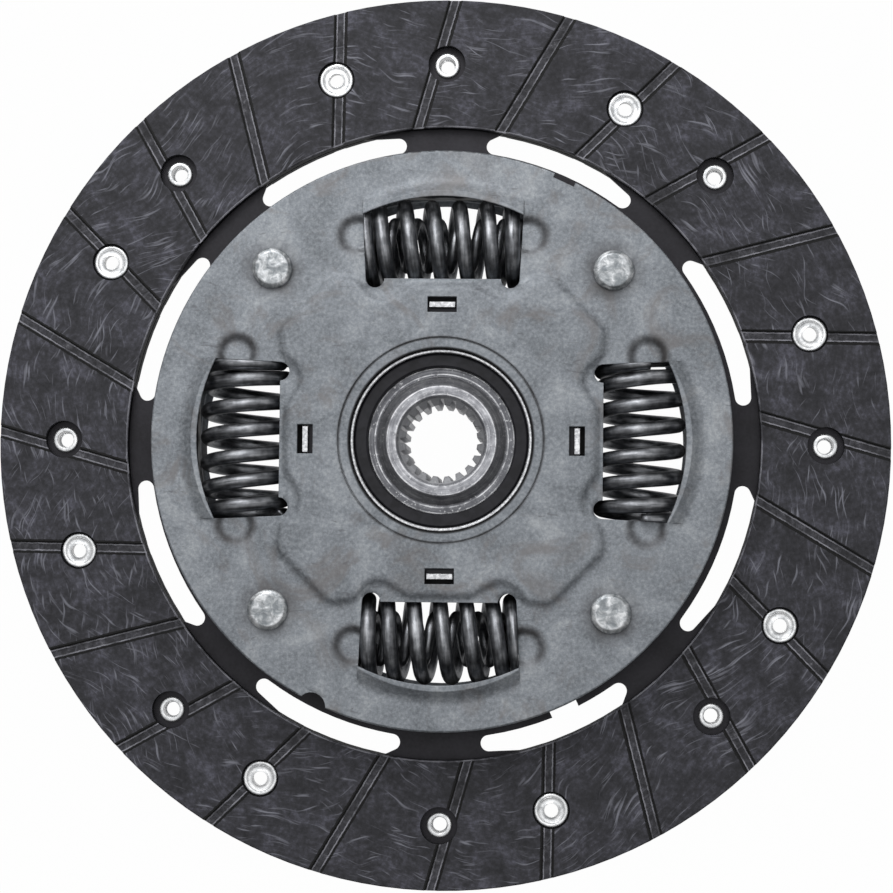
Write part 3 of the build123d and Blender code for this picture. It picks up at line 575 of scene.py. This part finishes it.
def phosphatedSheet():
    # pressed steel with a zinc phosphate coat: matt blue-grey crystals, cloudy, rubbed brown in patches, with
    # painted shade round the pins, the pads and the ring pressed round the hub, and black painted shade at
    # the hole's edge
    made, add, shader, coords = startMaterial("zinc phosphated steel sheet", 0.55)
    look = coverLook
    clouds = add("TexNoise", Vector=coords, Scale=1 / look["clouds"], Detail=6.0, Roughness=0.68,
                 Distortion=0.5)
    crystals = add("TexNoise", Vector=coords, Scale=1 / look["crystals"], Detail=4.0, Roughness=0.7)
    base = add("ValToRGB", {"stops": look["cloudTones"]}, Fac=clouds)
    fleck = add("ValToRGB", {"stops": look["crystalTones"]}, Fac=crystals)
    tone = add("Mix", {"data_type": "RGBA"}, i0=0.42, i6=base, i7=fleck).outputs[2]
    swirl = add("TexNoise", Vector=coords, Scale=1 / look["swirls"], Detail=6.0, Roughness=0.6,
                Distortion=1.8)
    rubbed = add("MapRange", Value=swirl, From_Min=0.53, From_Max=0.66, To_Max=0.55)
    marks = add("VectorMath", {"operation": "MULTIPLY"}, i0=coords, i1=look["scuffs"])
    marks = add("TexNoise", Vector=marks, Scale=1.0, Detail=3.0, Distortion=1.0)
    scuffed = add("MapRange", Value=marks, From_Min=0.66, From_Max=0.72, To_Max=0.5)

    # the disc folded on its two middle planes and their diagonals, so that one place stands for its copies
    side = add("SeparateXYZ", Vector=add("VectorMath", {"operation": "ABSOLUTE"}, i0=coords)).outputs
    far = add("Math", {"operation": "MAXIMUM"}, i0=side["X"], i1=side["Y"])
    near = add("Math", {"operation": "MINIMUM"}, i0=side["X"], i1=side["Y"])
    folded = add("CombineXYZ", X=far, Y=near)
    fromPin = add("VectorMath", {"operation": "DISTANCE"}, i0=folded, i1=look["pin"]).outputs["Value"]
    fromPad = add("VectorMath", {"operation": "DISTANCE"}, i0=folded, i1=look["pad"]).outputs["Value"]
    radius = add("VectorMath", {"operation": "LENGTH"}, i0=folded).outputs["Value"]
    fromRing = add("Math", {"operation": "SUBTRACT"}, i0=fromPad, i1=look["padRing"])
    fromRing = add("Math", {"operation": "ABSOLUTE"}, i0=fromRing)
    fromCoin = add("Math", {"operation": "SUBTRACT"}, i0=radius, i1=look["coin"])
    fromCoin = add("Math", {"operation": "ABSOLUTE"}, i0=fromCoin)
    # painted shade round the foot of each pin head, in the ring round each pad's edge and along the ring
    # pressed round the hub, broken up in patches by the clouds
    paintedShade = 0.0
    for away, reach, most in ((fromPin, look["pinPaintedShade"], 0.8), (fromRing, look["padPaintedShade"], 1.0),
                              (fromCoin, look["coinPaintedShade"], 0.8)):
        smudge = add("MapRange", Value=away, From_Min=reach[0], From_Max=reach[1], To_Min=most, To_Max=0.0)
        paintedShade = add("Math", {"operation": "MAXIMUM"}, i0=paintedShade, i1=smudge)
    patchy = add("MapRange", Value=clouds, From_Min=0.35, From_Max=0.65, To_Min=0.9, To_Max=0.35)
    paintedShade = add("Math", {"operation": "MULTIPLY", "use_clamp": True}, i0=paintedShade, i1=patchy)
    # black painted shade at the edge of the hole, in the gap to the bearing ring
    rim = add("MapRange", Value=radius, From_Min=look["holeRim"][0], From_Max=look["holeRim"][1], To_Min=1.0,
              To_Max=0.0)
    for share, colour in ((rubbed, look["rubbed"]), (scuffed, look["scuffed"]), (paintedShade, look["paintedShade"]),
                          (rim, look["rim"])):
        tone = add("Mix", {"data_type": "RGBA"}, i0=share, i6=tone, i7=colour).outputs[2]
    gloss = add("MapRange", Value=crystals, From_Min=0.3, From_Max=0.7, To_Min=0.42, To_Max=0.58)

    # bends look soft where the sheet is drawn, and the cut edges of windows and slots stay crisp
    isFar = add("Math", {"operation": "GREATER_THAN"}, i0=far, i1=look["windowFrom"])
    isNear = add("Math", {"operation": "LESS_THAN"}, i0=near, i1=look["windowHalf"])
    isInside = add("Math", {"operation": "LESS_THAN"}, i0=radius, i1=look["windowReach"])
    inWindow = add("Math", {"operation": "MULTIPLY"}, i0=isFar, i1=isNear)
    inWindow = add("Math", {"operation": "MULTIPLY"}, i0=inWindow, i1=isInside)
    isFar = add("Math", {"operation": "COMPARE"}, i0=far, i1=look["slot"], i2=look["slotDeep"])
    isNear = add("Math", {"operation": "LESS_THAN"}, i0=near, i1=look["slotHalf"])
    inSlot = add("Math", {"operation": "MULTIPLY"}, i0=isFar, i1=isNear)
    crisp = add("Math", {"operation": "MAXIMUM"}, i0=inWindow, i1=inSlot)
    middle, reach = (look["bendsTo"] + look["bendsFrom"]) / 2, (look["bendsTo"] - look["bendsFrom"]) / 2
    drawn = add("Math", {"operation": "COMPARE"}, i0=radius, i1=middle, i2=reach)
    uncut = add("Math", {"operation": "SUBTRACT"}, i0=1.0, i1=crisp)
    soft = add("Math", {"operation": "MULTIPLY"}, i0=drawn, i1=uncut)
    bend = add("MapRange", Value=soft, To_Min=look["crispEdge"], To_Max=look["softBend"])
    edge = add("Bevel", {"samples": 4}, Radius=bend)
    bump = add("Bump", Height=crystals, Strength=0.6, Distance=0.00004, Normal=edge)
    plug(shader, Base_Color=tone, Roughness=gloss, Normal=bump)
    return made


facingLook = {                                       # millimetres and degrees
    "grooveCircle": 27.7, "firstGroove": 74.4, "grooveStep": 15.0, "grooveHalf": 1.4,
    "groovePaintedShadows": (0.42, 0.28),                     # half width of the painted shadow along each side of a groove
    "ragged": 0.5,                                   # how far the grooves' sides wander
    "burrInside": 0.55, "burrHalf": 0.14,            # pale crumbs, this far inside a groove's side
    "innerEdgeHighlight": 78.42, "innerHalf": 0.17,           # and a painted highlight along the ring's inner edge
    "middleHeight": 12.5, "faceDepth": 3.0,          # nearer the middle height than this is in a rivet's hole, painted in shade
    "clouds": 8, "grit": 1.2, "crumbs": 1.6,         # sizes of the mottling, the grit and the grooves' crumbs
    "middleRadius": 94.0,                            # where a strand has the length below
    "strandLength": 8.5, "strandWidth": 0.75,        # drawn coarser than the real yarn so that it shows
    "weave": ((6, 0.0), (8, 2.1)),                   # waves round the ring, and where each starts, in radians
    "swing": 7.0,                                    # how far the waves move a strand in and out
    "wander": 12.0, "wanderSize": 22,                # how far it strays from them, and over what distance
    "sparse": 7,                                     # size of the patches with more and with fewer yarn ends
    "tones": [(0.37, "#242428"), (0.47, "#333338"), (0.54, "#404047"), (0.64, "#595964")],
    "crumbTones": [(0.4, "#1f1f22"), (0.52, "#38383c"), (0.62, "#4d4d52"), (0.74, "#85858b")],
    # the side colour is painted shadow along the grooves, the burr colour also paints a highlight along the
    # inner edge, and the last colour is painted shade in the rivets' holes
    "yarn": "#868791", "between": "#27272a", "side": "#0d0d0e", "burrAndEdgeHighlight": "#9a9aa2", "hole": "#1c1c1f",
}


def frictionFacing():
    # resin-bonded wound yarn, pressed and ground: mottled charcoal, with pale yarn weaving round the ring,
    # painted shadow along the grooves' sides, painted shade in the rivets' holes and a painted highlight
    # along the inner edge
    made, add, shader, coords = startMaterial("wound yarn friction facing", 0.0, 0.65)
    shader.inputs["Specular IOR Level"].default_value = 0.3
    look = facingLook

    def polar(flat):
        # radius: length in the plane; angle: arc tangent of y over x
        side = add("SeparateXYZ", Vector=flat).outputs
        angle = add("Math", {"operation": "ARCTAN2"}, i0=side["Y"], i1=side["X"])
        return add("VectorMath", {"operation": "LENGTH"}, i0=flat).outputs["Value"], angle

    flat = add("VectorMath", {"operation": "MULTIPLY"}, i0=coords, i1=(1, 1, 0))
    clouds = add("TexNoise", Vector=coords, Scale=1 / look["clouds"], Detail=6.0, Roughness=0.62,
                 Distortion=0.6)
    grit = add("TexNoise", Vector=coords, Scale=1 / look["grit"], Detail=4.0, Roughness=0.7)
    body = add("Mix", {"data_type": "FLOAT"}, i0=0.45, i2=clouds, i3=grit)
    tone = add("ValToRGB", {"stops": look["tones"]}, Fac=body)

    # yarn: noise stretched along rings whose radius is moved by a sine of the angle, so that they weave
    drift = add("TexNoise", Vector=coords, Scale=1 / look["wanderSize"], Detail=2.0).outputs["Color"]
    moved = add("VectorMath", {"operation": "MULTIPLY_ADD"}, i0=drift, i1=(look["wander"], look["wander"], 0),
                i2=flat)
    radius, angle = polar(moved)
    heading = add("VectorMath", {"operation": "NORMALIZE"}, i0=moved)
    along = look["middleRadius"] / look["strandLength"]
    strands = 0.0
    for number, (waves, start) in enumerate(look["weave"]):
        wave = add("Math", {"operation": "MULTIPLY_ADD"}, i0=angle, i1=waves, i2=start)
        wave = add("Math", {"operation": "SINE"}, i0=wave)
        track = add("Math", {"operation": "MULTIPLY_ADD"}, i0=wave, i1=look["swing"], i2=radius)
        track = add("Math", {"operation": "DIVIDE"}, i0=track, i1=look["strandWidth"])
        place = add("VectorMath", {"operation": "MULTIPLY_ADD"}, i0=heading, i1=(along, along, 0),
                    i2=add("CombineXYZ", X=number * 40.0, Z=track))          # 40 sets the layers far apart
        layer = add("TexNoise", Vector=place, Scale=1.0, Detail=1.5, Roughness=0.45)
        strands = add("Math", {"operation": "MAXIMUM"}, i0=strands, i1=layer)
    sparse = add("TexNoise", Vector=coords, Scale=1 / look["sparse"], Detail=2.0)
    strands = add("Math", {"operation": "MULTIPLY_ADD"}, i0=sparse, i1=0.35, i2=strands)
    yarn = add("MapRange", Value=strands, From_Min=0.82, From_Max=0.97, To_Max=0.85)
    between = add("MapRange", Value=strands, From_Min=0.6, From_Max=0.72, To_Min=0.45, To_Max=0.0)

    # distance from a groove's middle line: the angle left over after whole steps, times the length of the
    # tangent from the groove's circle
    radius, angle = polar(flat)
    slant = add("Math", {"operation": "DIVIDE"}, i0=look["grooveCircle"], i1=radius)
    slant = add("Math", {"operation": "ARCCOSINE"}, i0=slant)
    step = math.radians(look["grooveStep"])
    firstPhase = math.radians(look["firstGroove"] - look["grooveStep"] / 2)
    phase = add("Math", {"operation": "ADD"}, i0=angle, i1=slant)
    phase = add("Math", {"operation": "SUBTRACT"}, i0=phase, i1=firstPhase)
    phase = add("Math", {"operation": "FLOORED_MODULO"}, i0=phase, i1=step)
    left = add("Math", {"operation": "SUBTRACT"}, i0=phase, i1=step / 2)
    tangent = add("Math", {"operation": "SINE"}, i0=slant)
    tangent = add("Math", {"operation": "MULTIPLY"}, i0=radius, i1=tangent)
    fromLine = add("Math", {"operation": "MULTIPLY"}, i0=left, i1=tangent)
    ragged = add("Math", {"operation": "MULTIPLY_ADD"}, i0=grit, i1=look["ragged"], i2=-look["ragged"] / 2)
    away = add("Math", {"operation": "ABSOLUTE"}, i0=fromLine)
    away = add("Math", {"operation": "ADD"}, i0=away, i1=ragged)
    half = look["grooveHalf"]
    inGroove = add("MapRange", Value=away, From_Min=half - 0.1, From_Max=half + 0.1, To_Min=0.65, To_Max=0.0)
    crumbs = add("TexNoise", Vector=coords, Scale=1 / look["crumbs"], Detail=4.0, Roughness=0.7)
    crumbled = add("ValToRGB", {"stops": look["crumbTones"]}, Fac=crumbs)
    # painted shadow of the grooves' walls along both sides, wider on the side that faces away from the light
    fromSide = add("Math", {"operation": "SUBTRACT"}, i0=away, i1=half)
    fromSide = add("Math", {"operation": "ABSOLUTE"}, i0=fromSide)
    paintedShadowWidth = add("MapRange", Value=fromLine, From_Min=-half, From_Max=half, To_Min=look["groovePaintedShadows"][0],
                    To_Max=look["groovePaintedShadows"][1])
    side = add("Math", {"operation": "LESS_THAN"}, i0=fromSide, i1=paintedShadowWidth)
    burrAndEdgeHighlight = add("Math", {"operation": "COMPARE"}, i0=away, i1=half - look["burrInside"], i2=look["burrHalf"])
    # painted highlight along the ring's inner edge, in the burr's pale colour
    innerEdgeHighlight = add("Math", {"operation": "COMPARE"}, i0=radius, i1=look["innerEdgeHighlight"], i2=look["innerHalf"])
    burrAndEdgeHighlight = add("Math", {"operation": "MAXIMUM"}, i0=burrAndEdgeHighlight, i1=innerEdgeHighlight)
    broken = add("MapRange", Value=clouds, From_Min=0.4, From_Max=0.56, To_Min=0.15, To_Max=0.85)
    burrAndEdgeHighlight = add("Math", {"operation": "MULTIPLY"}, i0=burrAndEdgeHighlight, i1=broken)
    # painted shade on every face deep in the rivets' holes
    height = add("SeparateXYZ", Vector=coords).outputs["Z"]
    hole = add("Math", {"operation": "COMPARE"}, i0=height, i1=look["middleHeight"], i2=look["faceDepth"])
    for share, colour in ((yarn, look["yarn"]), (between, look["between"]), (inGroove, crumbled),
                          (side, look["side"]), (burrAndEdgeHighlight, look["burrAndEdgeHighlight"]), (hole, look["hole"])):
        tone = add("Mix", {"data_type": "RGBA"}, i0=share, i6=tone, i7=colour).outputs[2]
    relief = add("Math", {"operation": "MULTIPLY_ADD"}, i0=grit, i1=0.5, i2=yarn)
    bump = add("Bump", Height=relief, Strength=0.8, Distance=0.00012)
    plug(shader, Base_Color=tone, Normal=bump)
    return made


bluedLook = {
    "clouds": 8, "fine": 0.7,               # millimetres across
}


def bluedSteel(name, dark, light, roughness):
    # hardened strip steel, blued: near black, faintly clouded, half glossy
    made, add, shader, coords = startMaterial(name, 0.6, roughness)
    clouds = add("TexNoise", Vector=coords, Scale=1 / bluedLook["clouds"], Detail=5.0)
    fine = add("TexNoise", Vector=coords, Scale=1 / bluedLook["fine"], Detail=2.0)
    both = add("Mix", {"data_type": "FLOAT"}, i0=0.4, i2=clouds, i3=fine)
    tone = add("ValToRGB", {"stops": [(0.36, dark), (0.64, light)]}, Fac=both)
    bump = add("Bump", Height=fine, Strength=0.3, Distance=0.00003)
    plug(shader, Base_Color=tone, Normal=bump)
    return made


hubLook = {                                 # millimetres, and radii from the axis
    "collar": (15.7, 15.8),                 # where the bright face gives way to the duller collar
    "teeth": (10.4, 10.6),                  # and the brighter broached teeth to the face
    "lines": (17.72, 16.3, 13.25, 11.3),    # edges given painted highlights
    "highlightHalf": 0.14,
    "ringStep": 2.6, "ringBreak": 1.6,      # turning rings to a millimetre, and how much each varies round it
    "clouds": 3.5, "nicks": 0.8,            # sizes of the worn patches and the nicks
    "tones": [(0.36, "#6c6d72"), (0.48, "#8b8c91"), (0.56, "#a5a6ab"), (0.66, "#cfd0d3")],
    # the bright colour serves the broached teeth and the painted edge highlights
    "dull": "#4c4d52", "bright": "#dcdde0", "nick": "#d9dadc",
}


def turnedHub():
    # turned and hardened steel: grey, with fine turning rings, dull patches, bright nicks and painted
    # highlights along its edges
    made, add, shader, coords = startMaterial("turned case-hardened steel", 0.75)
    look = hubLook
    flat = add("VectorMath", {"operation": "MULTIPLY"}, i0=coords, i1=(1, 1, 0))
    radius = add("VectorMath", {"operation": "LENGTH"}, i0=flat).outputs["Value"]
    heading = add("VectorMath", {"operation": "NORMALIZE"}, i0=flat)
    outward = add("Math", {"operation": "MULTIPLY"}, i0=radius, i1=look["ringStep"])
    ringPlace = add("VectorMath", {"operation": "MULTIPLY_ADD"}, i0=heading,
                    i1=(look["ringBreak"], look["ringBreak"], 0), i2=add("CombineXYZ", Z=outward))
    rings = add("TexNoise", Vector=ringPlace, Scale=1.0, Detail=4.0, Roughness=0.6)
    clouds = add("TexNoise", Vector=coords, Scale=1 / look["clouds"], Detail=5.0, Roughness=0.65)
    nicks = add("TexNoise", Vector=coords, Scale=1 / look["nicks"], Detail=4.0, Roughness=0.75)
    both = add("Mix", {"data_type": "FLOAT"}, i0=0.5, i2=rings, i3=clouds)
    tone = add("ValToRGB", {"stops": look["tones"]}, Fac=both)
    dull = add("MapRange", Value=radius, From_Min=look["collar"][0], From_Max=look["collar"][1], To_Max=0.75)
    cut = add("MapRange", Value=radius, From_Min=look["teeth"][0], From_Max=look["teeth"][1], To_Min=0.45,
              To_Max=0.0)
    # painted highlights along the edges at the radii listed above, broken up in patches by the clouds
    bright = 0.0
    for line in look["lines"]:
        near = add("Math", {"operation": "COMPARE"}, i0=radius, i1=line, i2=look["highlightHalf"])
        bright = add("Math", {"operation": "MAXIMUM"}, i0=bright, i1=near)
    worn = add("MapRange", Value=clouds, From_Min=0.4, From_Max=0.6, To_Min=0.1, To_Max=0.9)
    bright = add("Math", {"operation": "MULTIPLY"}, i0=bright, i1=worn)
    nicked = add("MapRange", Value=nicks, From_Min=0.58, From_Max=0.68, To_Max=0.8)
    for share, colour in ((dull, look["dull"]), (cut, look["bright"]), (bright, look["bright"]),
                          (nicked, look["nick"])):
        tone = add("Mix", {"data_type": "RGBA"}, i0=share, i6=tone, i7=colour).outputs[2]
    gloss = add("MapRange", Value=both, From_Min=0.35, From_Max=0.65, To_Min=0.46, To_Max=0.3)
    edge = add("Bevel", {"samples": 4}, Radius=0.0004)
    bump = add("Bump", Height=both, Strength=0.4, Distance=0.00006, Normal=edge)
    plug(shader, Base_Color=tone, Roughness=gloss, Normal=bump)
    return made


thrustLook = {                              # millimetres
    "groundAbove": 26.4,                    # height over which the collar and tabs are ground bright
    "grain": 0.6,                           # size of the ground marks
    "blued": "#232326",
    "tones": [(0.36, "#a6a7aa"), (0.5, "#c2c3c6"), (0.64, "#dcdddf")],
}


def groundCollar():
    # blued washer whose collar and tab ends are ground bright, the tabs' edges still dark
    made, add, shader, coords = startMaterial("blued steel with ground ends", 0.8, 0.3)
    look = thrustLook
    height = add("SeparateXYZ", Vector=coords).outputs["Z"]
    ground = add("Math", {"operation": "GREATER_THAN"}, i0=height, i1=look["groundAbove"])
    fine = add("TexNoise", Vector=coords, Scale=1 / look["grain"], Detail=3.0)
    bare = add("ValToRGB", {"stops": look["tones"]}, Fac=fine)
    tone = add("Mix", {"data_type": "RGBA"}, i0=ground, i6=look["blued"], i7=bare).outputs[2]
    plug(shader, Base_Color=tone, Normal=add("Bevel", {"samples": 4}, Radius=0.0002))
    return made


polymerLook = {
    "flow": 2.5,                            # millimetres between flow marks
    "tones": [(0.35, "#19191d"), (0.65, "#26262b")],
}


def filledPolymer():
    # glass-filled nylon bearing rings: charcoal, matt, with short flow marks
    made, add, shader, coords = startMaterial("glass filled nylon", 0.0, 0.6)
    shader.inputs["Specular IOR Level"].default_value = 0.3
    flow = add("TexNoise", Vector=coords, Scale=1 / polymerLook["flow"], Detail=4.0, Distortion=0.8)
    tone = add("ValToRGB", {"stops": polymerLook["tones"]}, Fac=flow)
    bump = add("Bump", Height=flow, Strength=0.3, Distance=0.00005)
    plug(shader, Base_Color=tone, Normal=bump)
    return made


print("clutch disc: finishes")
dress(["front_cover", "rear_cover"], phosphatedSheet())
dress(["front_facing", "rear_facing"], frictionFacing())
dress(["cushion_disc", "disc_spring"], bluedSteel("blued spring steel", "#1f1e22", "#2b2a2f", 0.45))
# the flange, deep inside the disc, gets a darker copy of the blued steel: painted shade
dress(["hub_flange"], bluedSteel("hardened flange steel darkened as painted shade", "#151516", "#212123", 0.5))
dress(["hub"], turnedHub())
dress(["thrust_plate"], groundCollar())
dress(["front_bearing_ring", "rear_bearing_ring", "rear_friction_ring"], filledPolymer())

print("clutch disc: done")
